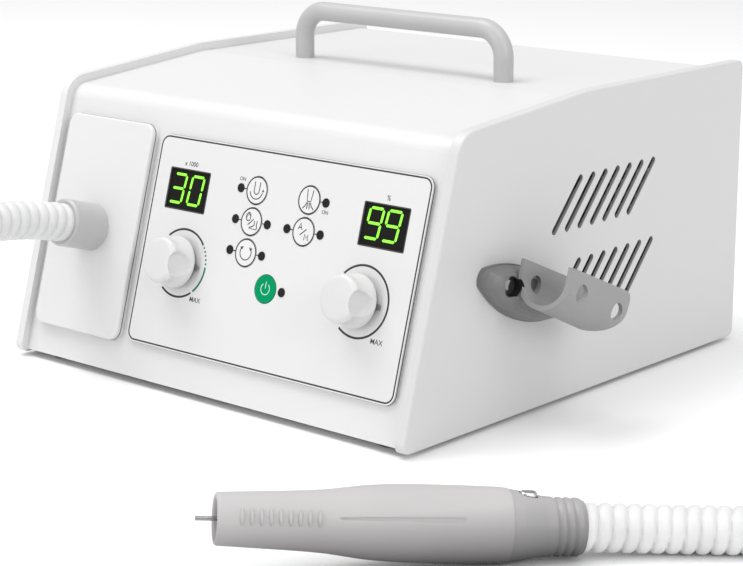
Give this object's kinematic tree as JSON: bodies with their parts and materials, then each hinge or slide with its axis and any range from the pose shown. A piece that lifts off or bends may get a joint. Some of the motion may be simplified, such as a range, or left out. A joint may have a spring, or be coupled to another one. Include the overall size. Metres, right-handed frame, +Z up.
{
  "type": "micromotor with suction",
  "caption": "Desktop micromotor drill unit with built-in suction: white sloping housing, keys, dials, displays, carry bar, holder and a handpiece on a ribbed hose.",
  "frame": {"origin": "on the table under the middle of the housing's footprint", "axes": "+X to the right as seen from the front, +Y to the back, +Z up; the table is the plane Z = 0"},
  "size_m": [0.6035, 0.5317, 0.1615],
  "materials": {
    "white_casing": "white textured powder coat",
    "plain_steel": "plain zinc-plated steel",
    "black_rubber": "matt black rubber",
    "handle_grey": "light grey coated bar",
    "holder_grey": "mid grey moulded plastic",
    "collar_grey": "light grey moulded plastic",
    "board_green": "green circuit board",
    "dark_plastic": "black moulded plastic",
    "duct_grey": "grey moulded plastic",
    "bag_paper": "filter paper",
    "filter_paper": "pleated filter paper",
    "overlay_white": "white printed film",
    "display_dark": "dark display window",
    "light_dark": "dark lamp lens, unlit",
    "key_white": "white key cap",
    "key_green": "green key cap",
    "knob_white": "white moulded knob",
    "contact_brass": "bright contacts",
    "handpiece_grey": "warm light grey casing",
    "tail_grey": "grey casing",
    "insert_white": "white finned insert",
    "tool_steel": "ground steel",
    "motor_steel": "turned steel",
    "hose_white": "milky white ribbed hose"
  },
  "bodies": {
    "unit": {"housing_shell": "white_casing", "left_side_panel": "white_casing", "right_side_panel": "white_casing", "base_plate": "plain_steel", "rear_panel": "plain_steel", "base_screws": "plain_steel", "rear_screws": "plain_steel", "rubber_feet": "black_rubber", "carry_handle": "handle_grey", "handle_screws": "plain_steel", "handpiece_holder": "holder_grey", "holder_screws": "plain_steel", "power_supply": "board_green", "bag_cover": "white_casing", "hose_collar": "collar_grey", "bag_chamber": "duct_grey", "dust_bag": "bag_paper", "motor_filter": "filter_paper", "suction_duct": "duct_grey", "blower_housing": "duct_grey", "blower_motor": "motor_steel", "blower_mounts": "plain_steel", "keypad_overlay": "overlay_white", "speed_display": "display_dark", "suction_display": "display_dark", "indicator_lights": "light_dark", "key_switches": "dark_plastic", "speed_control": "motor_steel", "suction_control": "motor_steel", "control_board": "board_green", "board_standoffs": "plain_steel", "mains_inlet": "dark_plastic", "inlet_blades": "contact_brass", "switch_frame": "dark_plastic", "pedal_socket": "dark_plastic", "handpiece_sleeve": "handpiece_grey", "nose_insert": "insert_white", "motor_can": "motor_steel", "spindle_bearings": "motor_steel", "tail_housing": "tail_grey", "hose_unit_end": "hose_white", "hose_front_run": "hose_white", "hose_tool_end": "hose_white"},
    "speed_dial": {"speed_knob": "knob_white", "speed_shaft": "motor_steel"},
    "suction_dial": {"suction_knob": "knob_white", "suction_shaft": "motor_steel"},
    "motor_key_cap": {"motor_key": "key_white"},
    "pedal_key_cap": {"pedal_key": "key_white"},
    "direction_key_cap": {"direction_key": "key_white"},
    "suction_key_cap": {"suction_key": "key_white"},
    "auto_key_cap": {"auto_key": "key_white"},
    "power_key_cap": {"power_key": "key_green"},
    "drill_shaft": {"drill_spindle": "motor_steel", "grinding_mandrel": "tool_steel", "motor_rotor": "motor_steel"},
    "release": {"release_button": "handpiece_grey"},
    "fan": {"blower_fan": "duct_grey"},
    "rocker": {"switch_rocker": "dark_plastic"},
    "drawer": {"fuse_drawer": "dark_plastic"}
  },
  "joints": [
    {"name": "speed_knob_turn", "type": "hinge", "parent": "unit", "child": "speed_dial", "pos_m": [-0.0237, -0.11275, 0.05909], "axis": [0, -0.9606, 0.278], "range_deg": [-60, 240]},
    {"name": "suction_knob_turn", "type": "hinge", "parent": "unit", "child": "suction_dial", "pos_m": [0.0831, -0.11275, 0.05909], "axis": [0, -0.9606, 0.278], "range_deg": [-60, 240]},
    {"name": "motor_key_press", "type": "slide", "parent": "unit", "child": "motor_key_cap", "axis": [0, 0.9606, -0.278], "range_m": [0, 0.0004], "stiffness_N_per_m": 400, "springref_m": -0.0005},
    {"name": "pedal_key_press", "type": "slide", "parent": "unit", "child": "pedal_key_cap", "axis": [0, 0.9606, -0.278], "range_m": [0, 0.0004], "stiffness_N_per_m": 400, "springref_m": -0.0005},
    {"name": "direction_key_press", "type": "slide", "parent": "unit", "child": "direction_key_cap", "axis": [0, 0.9606, -0.278], "range_m": [0, 0.0004], "stiffness_N_per_m": 400, "springref_m": -0.0005},
    {"name": "suction_key_press", "type": "slide", "parent": "unit", "child": "suction_key_cap", "axis": [0, 0.9606, -0.278], "range_m": [0, 0.0004], "stiffness_N_per_m": 400, "springref_m": -0.0005},
    {"name": "auto_key_press", "type": "slide", "parent": "unit", "child": "auto_key_cap", "axis": [0, 0.9606, -0.278], "range_m": [0, 0.0004], "stiffness_N_per_m": 400, "springref_m": -0.0005},
    {"name": "power_key_press", "type": "slide", "parent": "unit", "child": "power_key_cap", "axis": [0, 0.9606, -0.278], "range_m": [0, 0.0004], "stiffness_N_per_m": 400, "springref_m": -0.0005},
    {"name": "drill_spin", "type": "hinge", "parent": "unit", "child": "drill_shaft", "pos_m": [0.1556, -0.2625, 0.0226], "axis": [0.6255, 0.7752, -0.0889], "continuous": true},
    {"name": "release_press", "type": "slide", "parent": "unit", "child": "release", "axis": [-0.0558, -0.0692, -0.996], "range_m": [0, 0.0009], "stiffness_N_per_m": 600, "springref_m": -0.0005},
    {"name": "blower_fan_spin", "type": "hinge", "parent": "unit", "child": "fan", "pos_m": [0.045, 0.0246, 0.062], "axis": [0, 1, 0], "continuous": true},
    {"name": "rocker_tilt", "type": "hinge", "parent": "unit", "child": "rocker", "pos_m": [-0.084, 0.1155, 0.099], "axis": [-1, 0, 0], "range_deg": [0, 14]},
    {"name": "fuse_drawer_pull", "type": "slide", "parent": "unit", "child": "drawer", "axis": [0, 1, 0], "range_m": [0, 0.012]}
  ]
}
